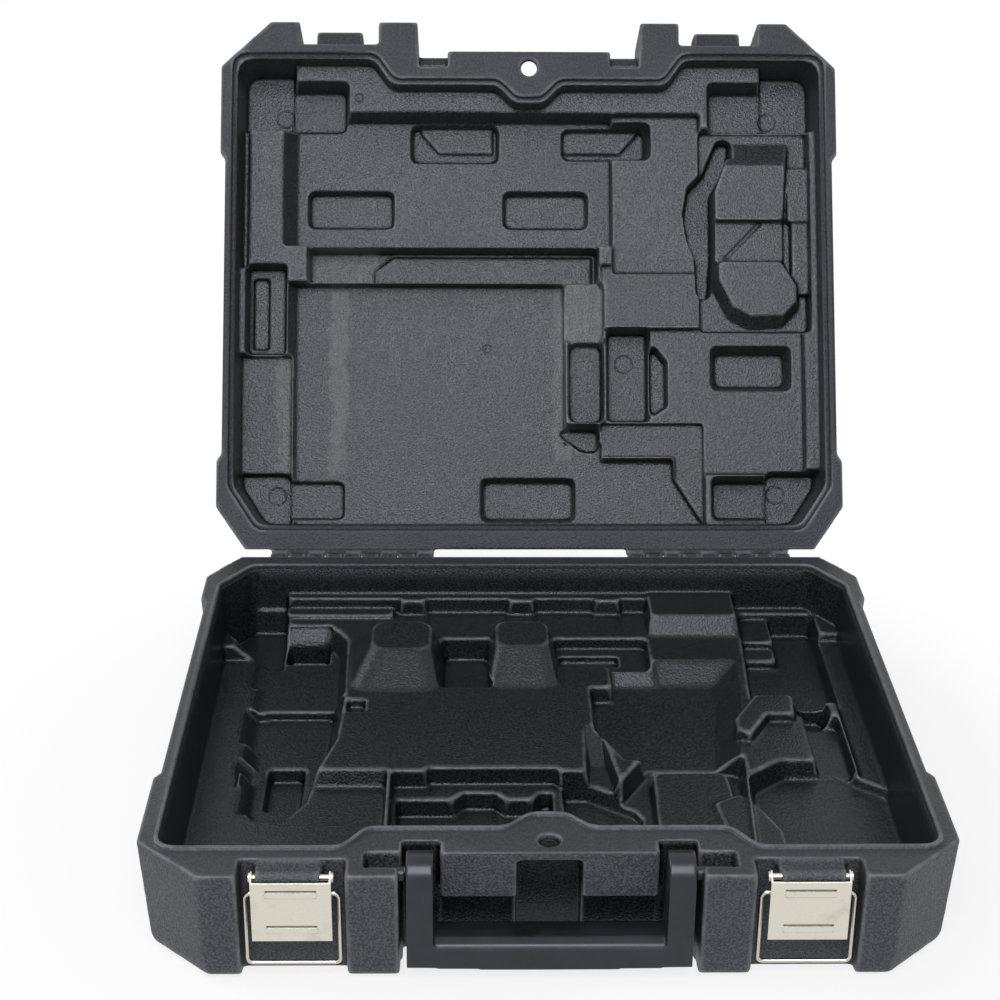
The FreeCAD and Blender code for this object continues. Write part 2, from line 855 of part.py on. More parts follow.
def trunnion_sockets(grow):
    """Open-topped slots that hold the handle's trunnions."""
    bottom = handle_pivot_z - trunnion_radius - socket_clearance
    y_range = (handle_pivot_y - trunnion_radius - socket_front_room - grow,
               handle_pivot_y + trunnion_radius + socket_rear_room + grow)
    slots = []
    for x0, x1 in both_sides((arm_notch_outer_x - feature_overlap, trunnion_tip_x + socket_end_clearance)):
        slots.append(box((x0 - grow, x1 + grow), y_range, (bottom - grow, base_height + feature_overlap)))
    return slots


def padlock_hole(rim_z, direction):
    """A bore through the rim with a small countersink on the mating side."""
    y = front_y + padlock_hole_inset
    start = Vector(0, y, rim_z - direction * feature_overlap)
    bore = Part.makeCylinder(padlock_hole_radius, flange_thickness + 2 * feature_overlap,
                             start, Vector(0, 0, direction))
    wide = padlock_hole_radius + padlock_countersink
    countersink = Part.makeCone(wide, padlock_hole_radius, padlock_countersink,
                                Vector(0, y, rim_z), Vector(0, 0, direction))
    return bore.fuse(countersink)


def hinge_ranges(parity):
    """X ranges of every second knuckle of both hinges, starting at the given one."""
    step = hinge_width / hinge_segments
    ranges = []
    for index in range(parity, hinge_segments, 2):
        start = hinge_inner_x + index * step + knuckle_gap / 2
        ranges += both_sides((start, start + step - knuckle_gap))
    return ranges


def knuckles(parity, web, pin_clearance):
    """Hinge knuckles with their webs, and the pin bore that goes through them."""
    solids = []
    for x0, x1 in hinge_ranges(parity):
        knuckle = cylinder_x(knuckle_radius, x0, x1, hinge_y, hinge_z)
        knuckle = knuckle.fuse(prism_x(web, x0, x1))
        bore = cylinder_x(hinge_pin_radius + pin_clearance, x0 - knuckle_gap, x1 + knuckle_gap,
                          hinge_y, hinge_z)
        solids.append(knuckle.cut(bore))
    return solids


def latch_centres():
    return (("left", -1), ("right", 1))


def barrel(side):
    """The moulded barrel that carries a latch pin, on a web from the recess wall."""
    centre = side * (latch_x + barrel_offset)
    x0 = centre - barrel_length / 2
    x1 = centre + barrel_length / 2
    body = cylinder_x(barrel_radius, x0, x1, latch_pin_y, latch_pin_z)
    web = box((x0, x1), (latch_pin_y, front_y + latch_recess_depth + wall),
              (latch_pin_z - barrel_web_height / 2, latch_pin_z + barrel_web_height / 2))
    bore = cylinder_x(latch_pin_radius + fixed_pin_clearance, x0 - wall, x1 + wall, latch_pin_y, latch_pin_z)
    return body.fuse(web).cut(bore)


def half_body(rim_z, height, edge_radius, main_depth, layers, recesses, grown_recesses):
    """One double-walled half: its outer block less its recesses, its tray and the hollow between."""
    direction = math.copysign(1, height)
    outer = rounded_block(rim_z, height, edge_radius, 0).cut(recesses)
    hollow = cavity(rim_z, height, main_depth, layers, 0)
    grown_hollow = cavity(rim_z, height, main_depth, layers, wall)
    inside = rounded_block(rim_z, height - direction * wall, edge_radius, wall)
    rim_slab = box((-case_width, case_width), (-case_depth, case_depth),
                   (rim_z - direction * feature_overlap, rim_z + direction * flange_thickness))
    space = inside.cut([grown_hollow, rim_slab] + grown_recesses)
    return outer.cut(hollow).cut(space)


def base():
    z_range = (-feature_overlap, base_height + feature_overlap)
    access = (-feature_overlap, padlock_access_height)

    def recesses(grow):
        solids = outer_recesses(z_range, z_range, access, grow)
        return solids + [finger_recess(grow)] + trunnion_sockets(grow)

    body = half_body(base_height, -base_height, base_edge_radius, plateau, base_layers(),
                     recesses(0), recesses(wall))
    lip = stack([
        (mouth_outline(-lip_width), base_height - feature_overlap),
        (mouth_outline(-lip_width), base_height + lip_height),
    ])
    lip = lip.cut(stack([
        (mouth_outline(0), base_height - 2 * feature_overlap),
        (mouth_outline(0), base_height + 2 * lip_height),
    ]))
    web = [
        (rear_y - wall, hinge_z + knuckle_radius),
        (rear_y - wall, hinge_z - knuckle_radius - hinge_setback),
        (hinge_y, hinge_z - knuckle_radius),
        (hinge_y, hinge_z + knuckle_radius),
    ]
    fittings = [lip] + knuckles(0, web, fixed_pin_clearance)
    fittings += [barrel(side) for name, side in latch_centres()]
    return body.fuse(fittings).cut(padlock_hole(base_height, -1)).removeSplitter()


def keeper(side):
    """The hook on the lid that a bail's bar seats on, with a lip in front of the bar."""
    top = bail_bar_z() - bail_wire_radius - keeper_bar_clearance
    back = front_y + latch_recess_depth + wall
    lip_back = bail_bar_y() - bail_wire_radius - keeper_bar_clearance
    lip_front = lip_back - keeper_lip_thickness
    profile = [
        (back, lid_rim + keeper_foot_depth),
        (lip_front, lid_rim + keeper_front_depth),
        (lip_front, top + keeper_lip_height),
        (lip_back, top + keeper_lip_height),
        (lip_back, top),
        (back, top),
    ]
    x = side * latch_x
    return prism_x(profile, x - keeper_width / 2, x + keeper_width / 2)


def bail_bar_y():
    return latch_pin_y + bail_bar_setback


def bail_bar_z():
    """Height of the bail's bar when it is swung up over the keeper of the closed lid."""
    return bail_pivot_z + math.sqrt(bail_length ** 2 - (bail_bar_y() - bail_pivot_y) ** 2)


def lid_closed():
    z_range = (lid_rim - feature_overlap, lid_rim + lid_height + feature_overlap)
    arm_notch = (lid_rim - feature_overlap, lid_rim + lid_arm_notch_depth)
    access = (lid_rim + flange_thickness, lid_rim + lid_height + feature_overlap)

    def recesses(grow):
        return outer_recesses(z_range, arm_notch, access, grow)

    body = half_body(lid_rim, lid_height, lid_edge_radius, terrace, lid_layers(), recesses(0), recesses(wall))
    rebate = stack([
        (mouth_outline(-lip_width - lip_clearance), lid_rim - feature_overlap),
        (mouth_outline(-lip_width - lip_clearance), base_height + lip_height + lip_clearance),
    ])
    web = [
        (hinge_y - knuckle_radius, hinge_z),
        (hinge_y + knuckle_radius, hinge_z),
        (hinge_y + knuckle_radius, lid_rim + knuckle_radius),
        (rear_y - wall, lid_rim + 2 * knuckle_radius + hinge_setback),
        (rear_y - wall, lid_rim),
        (hinge_y - knuckle_radius, lid_rim),
    ]
    fittings = knuckles(1, web, running_clearance) + hinge_aprons()
    fittings += [keeper(side) for name, side in latch_centres()]
    return body.cut([rebate] + lid_marks()).fuse(fittings).cut(padlock_hole(lid_rim, 1)).removeSplitter()


def hinge_aprons():
    """Strips along the lid's rear wall that cover the gap above the knuckles of the base."""
    profile = [
        (rear_y - wall, lid_rim),
        (rear_y + apron_clearance, lid_rim),
        (rear_y + apron_clearance, lid_rim - apron_drop),
        (rear_y + apron_reach, lid_rim - apron_drop),
        (rear_y + apron_reach, lid_rim + apron_reach),
        (rear_y - wall, lid_rim + apron_height),
    ]
    x_range = (hinge_inner_x + knuckle_gap / 2, hinge_inner_x + hinge_width - knuckle_gap / 2)
    return [prism_x(profile, x0, x1) for x0, x1 in both_sides(x_range)]


def lid():
    """The lid as it rests, leaning back on its hinges."""
    shape = lid_closed()
    shape.rotate(Vector(0, hinge_y, hinge_z), Vector(1, 0, 0), -lid_open_angle)
    return shape


def hinge_pin(side):
    length = hinge_width - knuckle_gap
    x0 = side * (hinge_inner_x + hinge_width / 2) - length / 2
    return cylinder_x(hinge_pin_radius, x0, x0 + length, hinge_y, hinge_z)


# Carrying handle

def handle():
    back = handle_pivot_y + handle_arm_half_depth
    front = handle_pivot_y - handle_arm_half_depth
    outer_x = handle_arm_inner_x + handle_arm_width
    shoulder = handle_bottom + grip_height - grip_crown
    crown = []
    for step in range(2 * edge_steps + 1):
        angle = math.pi * step / (2 * edge_steps)
        crown.append((handle_pivot_y - handle_arm_half_depth * math.cos(angle),
                      shoulder + grip_crown * math.sin(angle)))
    shape = prism_x([(front, handle_bottom)] + crown + [(back, handle_bottom)], -outer_x, outer_x)
    bow = Part.Arc(Vector(-outer_x, front, handle_bottom),
                   Vector(0, front, handle_bottom - grip_bow),
                   Vector(outer_x, front, handle_bottom)).toShape()
    chord = Part.makeLine(Vector(outer_x, front, handle_bottom), Vector(-outer_x, front, handle_bottom))
    belly = Part.Face(Part.Wire([bow, chord])).extrude(Vector(0, back - front, 0))
    pieces = [belly]
    for x0, x1 in both_sides((handle_arm_inner_x, outer_x)):
        pieces.append(box((x0, x1), (front, back), (handle_bottom, handle_pivot_z)))
        pieces.append(cylinder_x(handle_arm_half_depth, x0, x1, handle_pivot_y, handle_pivot_z))
    for x0, x1 in both_sides((handle_arm_inner_x, trunnion_tip_x)):
        pieces.append(cylinder_x(trunnion_radius, x0, x1, handle_pivot_y, handle_pivot_z))
    return shape.fuse(pieces).removeSplitter()


# Latches

def latch_pin(side):
    """The latch's pivot pin, with a flat head outside each ear of the lever."""
    x = side * latch_x
    reach = lever_width / 2 + running_clearance
    pin = cylinder_x(latch_pin_radius, x - reach, x + reach, latch_pin_y, latch_pin_z)
    for start in (x - reach - latch_pin_head_thickness, x + reach):
        pin = pin.fuse(cylinder_x(latch_pin_head_radius, start, start + latch_pin_head_thickness,
                                  latch_pin_y, latch_pin_z))
    return pin.removeSplitter()


def latch_lever(side):
    """The stamped lever: a face plate with two raised ribs, and an ear at each side."""
    x = side * latch_x
    inner_face = latch_pin_y - lever_face_gap
    outer_face = inner_face - lever_thickness
    bottom = latch_pin_z - lever_length
    half = lever_width / 2
    shape = box((x - half, x + half), (outer_face, inner_face), (bottom, latch_pin_z))
    for z in (latch_pin_z - lever_rib_margin, bottom + lever_rib_margin):
        shape = shape.fuse(lever_rib(x, outer_face, z))
    ear = [
        (outer_face, latch_pin_z - ear_foot_drop),
        (bail_pivot_y + ear_radius, bail_pivot_z),
        (latch_pin_y + ear_radius, latch_pin_z),
        (latch_pin_y, latch_pin_z + ear_radius),
        (outer_face, latch_pin_z),
    ]
    for start in (x - half, x + half - lever_thickness):
        end = start + lever_thickness
        flange = prism_x(ear, start, end)
        flange = flange.fuse([
            cylinder_x(ear_radius, start, end, latch_pin_y, latch_pin_z),
            cylinder_x(ear_radius, start, end, bail_pivot_y, bail_pivot_z),
        ])
        shape = shape.fuse(flange)
    pin_bore = cylinder_x(latch_pin_radius + running_clearance, x - lever_width, x + lever_width,
                          latch_pin_y, latch_pin_z)
    bail_bore = cylinder_x(bail_wire_radius + running_clearance, x - lever_width, x + lever_width,
                           bail_pivot_y, bail_pivot_z)
    return shape.cut(pin_bore.fuse(bail_bore)).removeSplitter()


def lever_rib(x, face_y, z):
    """A rib with rounded ends, pressed out of the lever's face."""
    radius = lever_rib_width / 2
    straight = lever_rib_length / 2 - radius
    rib = box((x - straight, x + straight), (face_y - lever_rib_height, face_y + lever_thickness / 2),
              (z - radius, z + radius))
    ends = []
    for end in (x - straight, x + straight):
        ends.append(Part.makeCylinder(radius, lever_rib_height + lever_thickness / 2,
                                      Vector(end, face_y - lever_rib_height, z), Vector(0, 1, 0)))
    return rib.fuse(ends)


def rounded_path(points, radius):
    """A wire of straight runs joined by tangent arcs."""
    edges = []
    start = points[0]
    for before, corner, after in zip(points, points[1:], points[2:]):
        into = (corner - before).normalize()
        away = (after - corner).normalize()
        half_turn = into.getAngle(away) / 2
        tangent = radius * math.tan(half_turn)
        entry = corner - into * tangent
        leave = corner + away * tangent
        middle = corner + (away - into).normalize() * (radius / math.cos(half_turn) - radius)
        edges.append(Part.makeLine(start, entry))
        edges.append(Part.Arc(entry, middle, leave).toShape())
        start = leave
    edges.append(Part.makeLine(start, points[-1]))
    return Part.Wire(edges)


def latch_bail(side):
    """The wire bail, hanging from the lever's ears."""
    x = side * latch_x
    leg = bail_outer_width / 2 - bail_wire_radius
    tip = lever_width / 2 - lever_thickness - bail_tip_inset
    low = bail_pivot_z - bail_length
    path = rounded_path([Vector(x + dx, bail_pivot_y, z) for dx, z in (
        (-tip, bail_pivot_z),
        (-leg, bail_pivot_z),
        (-leg, low),
        (leg, low),
        (leg, bail_pivot_z),
        (tip, bail_pivot_z),
    )], bail_corner_radius)
    section = Part.Wire(Part.makeCircle(bail_wire_radius, path.Vertexes[0].Point, Vector(1, 0, 0)))
    return path.makePipeShell([section], True, False)


def all_parts():
    parts = {"base": base(), "lid": lid(), "handle": handle()}
    for name, side in latch_centres():
        parts["hinge_pin_" + name] = hinge_pin(side)
        parts["latch_lever_" + name] = latch_lever(side)
        parts["latch_pin_" + name] = latch_pin(side)
        parts["latch_bail_" + name] = latch_bail(side)
    return parts


os.makedirs("parts", exist_ok=True)
for node, shape in all_parts().items():
    shape.exportStep(os.path.join("parts", node + ".step"))
    print(node, len(shape.Solids), shape.isValid(), round(shape.Volume))
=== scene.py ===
import math

import bmesh
import bpy
import numpy as np
from mathutils import Matrix, Vector

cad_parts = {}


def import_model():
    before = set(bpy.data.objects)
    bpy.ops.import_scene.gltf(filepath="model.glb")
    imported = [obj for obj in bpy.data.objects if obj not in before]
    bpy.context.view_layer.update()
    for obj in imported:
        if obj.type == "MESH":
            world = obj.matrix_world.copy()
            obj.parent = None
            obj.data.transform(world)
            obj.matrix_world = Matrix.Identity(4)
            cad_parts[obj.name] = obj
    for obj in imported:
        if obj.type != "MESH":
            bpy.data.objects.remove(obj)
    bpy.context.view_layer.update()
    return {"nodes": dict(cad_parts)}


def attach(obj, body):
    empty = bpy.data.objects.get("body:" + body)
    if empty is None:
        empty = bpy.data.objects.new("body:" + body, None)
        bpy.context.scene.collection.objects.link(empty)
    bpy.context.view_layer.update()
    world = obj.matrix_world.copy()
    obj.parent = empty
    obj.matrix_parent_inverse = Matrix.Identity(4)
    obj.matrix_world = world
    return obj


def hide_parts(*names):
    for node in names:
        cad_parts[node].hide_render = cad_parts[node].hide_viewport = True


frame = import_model()
nodes = frame["nodes"]
scene = bpy.context.scene

# Sizes shared with the solids, in metres
HINGE = Vector((0, 0.1797, 0.0569))
OPENING_TURN = Matrix.Rotation(math.radians(-120), 4, "X")
LID_TURN = Matrix.Translation(HINGE) @ OPENING_TURN @ Matrix.Translation(-HINGE)
BASE_RIM = 0.063
LID_RIM = 0.0634
MOUTH_X = 0.1895
MOUTH_FRONT = -0.1485
MOUTH_REAR = 0.157
LEVER_RIBS_X = (0.1115, 0.1355)

# How finely the pieces are remeshed, in metres, the most triangles that one keeps, and how it is smoothed
CASE_VOXEL = 0.0009
HANDLE_VOXEL = 0.0006
LEVER_VOXEL = 0.00022
MOST_FACES = 190000
SMOOTH_FACTOR = 0.5
MERGE_DISTANCE = 1e-6

# How far past the mouth, below the rim and outside the mouth the areas of softer edges reach, in metres
MOUTH_MARGIN = 0.001
RIM_MARGIN = 0.004
OUTSIDE_MARGIN = 0.004


# Moulded pieces: the solid's outer skin, remeshed evenly so that its edges can be rounded

def outer_skin(node):
    """A copy of a CAD node's mesh without the sealed hollow inside it: its part of the largest span."""
    mesh = nodes[node].data.copy()
    bm = bmesh.new()
    bm.from_mesh(mesh)
    bmesh.ops.remove_doubles(bm, verts=bm.verts, dist=MERGE_DISTANCE)
    bm.verts.ensure_lookup_table()
    group = [-1] * len(bm.verts)
    spans = []
    for start in bm.verts:
        if group[start.index] >= 0:
            continue
        number = len(spans)
        group[start.index] = number
        todo = [start]
        low = start.co.copy()
        high = start.co.copy()
        while todo:
            vert = todo.pop()
            low = Vector(map(min, low, vert.co))
            high = Vector(map(max, high, vert.co))
            for edge in vert.link_edges:
                other = edge.other_vert(vert)
                if group[other.index] < 0:
                    group[other.index] = number
                    todo.append(other)
        spans.append((high - low).length)
    kept = spans.index(max(spans))
    inner = [v for v in bm.verts if group[v.index] != kept]
    bmesh.ops.delete(bm, geom=inner, context="VERTS")
    bm.to_mesh(mesh)
    bm.free()
    return mesh


def applied(obj):
    """Replaces an object's mesh by its modified one."""
    bpy.context.view_layer.update()
    evaluated = obj.evaluated_get(bpy.context.evaluated_depsgraph_get())
    mesh = bpy.data.meshes.new_from_object(evaluated)
    obj.modifiers.clear()
    obj.data = mesh


def add_smooth(obj, passes, group=""):
    smooth = obj.modifiers.new("smooth", "SMOOTH")
    smooth.factor = SMOOTH_FACTOR
    smooth.iterations = passes
    smooth.vertex_group = group


def moulded(node, body, voxel, passes, soft_areas=(), turn=None):
    """A rounded copy of a node that rides on its body and stands for the node.

    Each soft area is a test of points and the further smoothing passes that its points get. A turn
    is undone while the copy is made, so that the areas can be given in the closed lid's coordinates.
    """
    obj = bpy.data.objects.new(node + "_skin", outer_skin(node))
    scene.collection.objects.link(obj)
    if turn:
        obj.data.transform(turn.inverted())
    size = voxel * 1
    remesh = obj.modifiers.new("remesh", "REMESH")
    remesh.mode = "VOXEL"
    remesh.voxel_size = size
    applied(obj)
    add_smooth(obj, passes)
    points = np.empty(len(obj.data.vertices) * 3)
    obj.data.vertices.foreach_get("co", points)
    for area, area_passes in soft_areas:
        inside = np.nonzero(area(points.reshape(-1, 3)))[0]
        group = obj.vertex_groups.new(name=area.__name__)
        group.add([int(i) for i in inside], 1.0, "REPLACE")
        add_smooth(obj, area_passes, area.__name__)
    applied(obj)
    decimate = obj.modifiers.new("decimate", "DECIMATE")
    faces = sum(len(p.vertices) - 2 for p in obj.data.polygons)
    decimate.ratio = min(1.0, MOST_FACES / faces)
    decimate.use_collapse_triangulate = True
    applied(obj)
    obj.vertex_groups.clear()
    if turn:
        obj.data.transform(turn)
    obj.data.shade_smooth()
    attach(obj, body)
    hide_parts(node)
    return obj


def in_mouth(x, y):
    return ((abs(x) < MOUTH_X + MOUTH_MARGIN)
            & (y > MOUTH_FRONT - MOUTH_MARGIN) & (y < MOUTH_REAR + MOUTH_MARGIN))


def base_tray(points):
    x, y, z = points.T
    return in_mouth(x, y) & (z < BASE_RIM - RIM_MARGIN)


def lid_tray(points):
    x, y, z = points.T
    return in_mouth(x, y) & (z > LID_RIM + RIM_MARGIN)


def outside(points):
    x, y = points.T[:2]
    return (abs(x) > MOUTH_X + OUTSIDE_MARGIN) | (y < MOUTH_FRONT - OUTSIDE_MARGIN)


base_skin = moulded("base", "base", CASE_VOXEL, 3, [(base_tray, 12), (outside, 14)])
lid_skin = moulded("lid", "lid", CASE_VOXEL, 3, [(lid_tray, 5), (outside, 10)], LID_TURN)
handle_skin = moulded("handle", "handle", HANDLE_VOXEL, 9)
levers = []
for side in ("left", "right"):
    name = "latch_lever_" + side
    levers.append(moulded(name, "lever_" + side, LEVER_VOXEL, 3))


# Materials

class Graph:
    """A material's node tree with short ways to add and join nodes."""

    def __init__(self, name):
        self.material = bpy.data.materials.new(name)
        self.material.use_nodes = True
        self.tree = self.material.node_tree
        self.shader = self.tree.nodes["Principled BSDF"]
        self.point = self.tree.nodes.new("ShaderNodeTexCoord").outputs["Object"]

    def node(self, kind, **settings):
        made = self.tree.nodes.new(kind)
        for key, value in settings.items():
            setattr(made, key, value)
        return made

    def set(self, socket, value):
        if isinstance(value, bpy.types.NodeSocket):
            self.tree.links.new(value, socket)
        else:
            socket.default_value = value

    def math(self, operation, first, second=0.0):
        made = self.node("ShaderNodeMath", operation=operation)
        self.set(made.inputs[0], first)
        self.set(made.inputs[1], second)
        return made.outputs[0]

    def ramp(self, value, low, high, out_low=0.0, out_high=1.0):
        made = self.node("ShaderNodeMapRange", interpolation_type="SMOOTHSTEP")
        for key, item in zip(("Value", "From Min", "From Max", "To Min", "To Max"),
                             (value, low, high, out_low, out_high)):
            self.set(made.inputs[key], item)
        return made.outputs[0]

    def band(self, value, low, high, soft):
        """One between low and high, fading to zero over the soft distance outside."""
        rise = self.ramp(value, low - soft, low)
        fall = self.ramp(value, high, high + soft, 1.0, 0.0)
        return self.math("MULTIPLY", rise, fall)

    def noise(self, scale, detail=2.0, rough=0.5, vector=None, distortion=0.0):
        made = self.node("ShaderNodeTexNoise")
        self.set(made.inputs["Vector"], vector or self.point)
        self.set(made.inputs["Scale"], scale)
        self.set(made.inputs["Detail"], detail)
        self.set(made.inputs["Roughness"], rough)
        self.set(made.inputs["Distortion"], distortion)
        return made.outputs["Fac"]

    def cells(self, scale):
        made = self.node("ShaderNodeTexVoronoi", feature="SMOOTH_F1")
        self.set(made.inputs["Vector"], self.point)
        self.set(made.inputs["Scale"], scale)
        return made.outputs["Distance"]

    def stretched(self, scale):
        made = self.node("ShaderNodeMapping", vector_type="POINT")
        self.set(made.inputs["Vector"], self.point)
        made.inputs["Scale"].default_value = scale
        return made.outputs["Vector"]

    def blend(self, factor, first, second):
        made = self.node("ShaderNodeMix", data_type="RGBA")
        self.set(made.inputs[0], factor)
        self.set(made.inputs[6], first)
        self.set(made.inputs[7], second)
        return made.outputs[2]

    def mix(self, factor, first, second):
        made = self.node("ShaderNodeMix", data_type="FLOAT")
        self.set(made.inputs[0], factor)
        self.set(made.inputs[2], first)
        self.set(made.inputs[3], second)
        return made.outputs[0]

    def bump(self, height, strength, distance):
        made = self.node("ShaderNodeBump")
        self.set(made.inputs["Height"], height)
        self.set(made.inputs["Strength"], strength)
        self.set(made.inputs["Distance"], distance)
        self.tree.links.new(made.outputs["Normal"], self.shader.inputs["Normal"])

    def axes(self):
        made = self.node("ShaderNodeSeparateXYZ")
        self.set(made.inputs[0], self.point)
        return made.outputs


def to_closed_lid(graph):
    """Turns the coordinates of the leaning lid back to those of the closed one."""
    shift = graph.node("ShaderNodeMapping", vector_type="POINT")
    graph.set(shift.inputs["Vector"], graph.point)
    back = LID_TURN.inverted()
    shift.inputs["Location"].default_value = back.translation
    shift.inputs["Rotation"].default_value = back.to_euler()
    graph.point = shift.outputs["Vector"]


# Colours of the plastic and the steel. The cool one tints the plastic's gloss.
COOL = (0.84, 0.92, 1.0, 1)
HANDLE_BLACK = ((0.007, 0.008, 0.0095, 1), (0.013, 0.015, 0.018, 1))
HANDLE_MARK = (0.05, 0.05, 0.052, 1)
LEVER_TINT = (0.70, 0.66, 0.58, 1)
WIRE_TINT = (0.58, 0.54, 0.47, 1)
PIN_TINT = (0.42, 0.42, 0.43, 1)
# Painted highlight along the plastic's convex edges
PAINTED_EDGE_HIGHLIGHT = (0.105, 0.112, 0.122, 1)
# Painted shade in the plastic's concave creases
PAINTED_CREASE_SHADE = (0.002, 0.002, 0.0025, 1)
# Grey of the scuffs and of the painted highlight band in the lid's tray
SCUFF_AND_HIGHLIGHT_GREY = (0.17, 0.168, 0.16, 1)
RING_LINE = (0.003, 0.003, 0.0035, 1)
# Painted shade in the creases of the levers' ribs
STEEL_CREASE_SHADE = (0.05, 0.048, 0.045, 1)

# Looks of each half. Pairs of colours run from the grain's hollows to its tops, darker in the hollows as
# painted shade and lighter on the tops as painted light; pairs of roughness run from low to high, and the
# shine from the outside to the tray. The tray depth ends short of the outer wall.
LID_LOOK = {
    "tray_depth": 0.0425,
    "tray_grain": 1.5,
    "skin": ((0.007, 0.008, 0.009, 1), (0.026, 0.029, 0.034, 1)),
    "lining": ((0.006, 0.007, 0.008, 1), (0.036, 0.040, 0.045, 1)),
    "outer_rough": (0.50, 0.58),
    "inner_rough": (0.22, 0.28),
    "grain_rough": 0.12,
    "shine": (0.4, 0.6),
}
BASE_LOOK = {
    "tray_depth": 0.0575,
    "tray_grain": 0.8,
    "skin": ((0.016, 0.018, 0.021, 1), (0.060, 0.066, 0.076, 1)),
    # The base's tray lining is coloured darker than the lid's, as painted shade in the deep base tray
    "lining": ((0.005, 0.0055, 0.006, 1), (0.016, 0.0175, 0.019, 1)),
    "outer_rough": (0.42, 0.50),
    "inner_rough": (0.19, 0.25),
    "grain_rough": 0.0,
    "shine": (0.5, 0.33),
}

# Grain sizes, in forms per metre, and the grain's relief, in metres
PEBBLES = 1000
SPECKS = 1700
SATIN = 850
CLOUDS = 14
GRAIN_STRENGTH = 0.75
GRAIN_RELIEF = 0.0006

# Where the masks of tray and rim lie below the rim, and how softly they fade, in metres
TRAY_START = 0.003
TRAY_FADE = 0.001
RIM_BAND = (-0.0025, 0.001)
RIM_FADE = 0.0005
RIM_SMOOTHNESS = 0.6

# Mould marks in the lid's tray, x, y and radius, in the coordinates of the closed lid
RING_LINE_HALF = 0.0003
RINGS = [
    (-0.161, -0.1175, 0.0057),
    (0.160, -0.1165, 0.0057),
    (-0.164, 0.135, 0.0057),
    (0.162, 0.134, 0.0057),
    (0.063, 0.047, 0.0057),
    (-0.111, -0.126, 0.0026),
    (-0.027, 0.038, 0.0026),
]

# Scuffed patches in the lid's tray, the first of them a painted highlight band along a crease: x from and to,
# y from and to, and how softly they fade
SCUFF_AND_HIGHLIGHT_SHARE = 0.36
SCUFF_AND_HIGHLIGHT_PATCHES = [
    (-0.128, -0.120, 0.0, 0.120, 0.003),
    (-0.162, -0.156, 0.046, 0.118, 0.003),
    (-0.144, -0.101, -0.026, -0.005, 0.004),
    (0.020, 0.047, -0.005, 0.036, 0.005),
    (0.018, 0.026, 0.030, 0.110, 0.003),
]


def ring_lines(g, x, y):
    """Thin round lines of the lid's mould marks."""
    lines = 0.0
    for ring_x, ring_y, radius in RINGS:
        away = [g.math("POWER", g.math("ABSOLUTE", g.math("SUBTRACT", axis, middle)), 2.0)
                for axis, middle in ((x, ring_x), (y, ring_y))]
        distance = g.math("SQRT", g.math("ADD", away[0], away[1]))
        lines = g.math("MAXIMUM", lines, g.band(
            distance, radius - RING_LINE_HALF, radius + RING_LINE_HALF, RING_LINE_HALF))
    return lines


def tray_and_rim(g, x, y, depth, tray_depth):
    """Masks of the tray inside the mouth and of the rim's top, by the depth below the rim."""
    across = g.ramp(g.math("ABSOLUTE", x), MOUTH_X - TRAY_FADE, MOUTH_X + TRAY_FADE / 2, 1.0, 0.0)
    along = g.band(y, MOUTH_FRONT + TRAY_FADE, MOUTH_REAR - TRAY_FADE, TRAY_FADE)
    below = g.band(depth, TRAY_START, tray_depth, TRAY_FADE)
    tray = g.math("MULTIPLY", g.math("MULTIPLY", across, along), below)
    return tray, g.band(depth, *RIM_BAND, RIM_FADE)


def worn_and_highlight_patches(g, x, y, tray, scuffs_and_highlight):
    """Adds the lid's scuffed patches and its painted highlight band, with wavering edges and smeared along
    the lid, to a mask of scuffs and painted highlight.
    """
    waver = g.math("MULTIPLY", g.math("SUBTRACT", g.noise(70, 3), 0.5), 0.012)
    wavering_x = g.math("ADD", x, waver)
    wavering_y = g.math("ADD", y, waver)
    smear = g.noise(1, 5, 0.65, g.stretched((300, 90, 100)), 0.6)
    streaks = g.ramp(smear, 0.3, 0.65, 0.35, 1.0)
    for x0, x1, y0, y1, soft in SCUFF_AND_HIGHLIGHT_PATCHES:
        patch = g.math("MULTIPLY", g.band(wavering_x, x0, x1, soft), g.band(wavering_y, y0, y1, soft))
        patch = g.math("MULTIPLY", patch, tray)
        scuffs_and_highlight = g.math("MAXIMUM", scuffs_and_highlight, g.math("MULTIPLY", patch, streaks))
    return scuffs_and_highlight


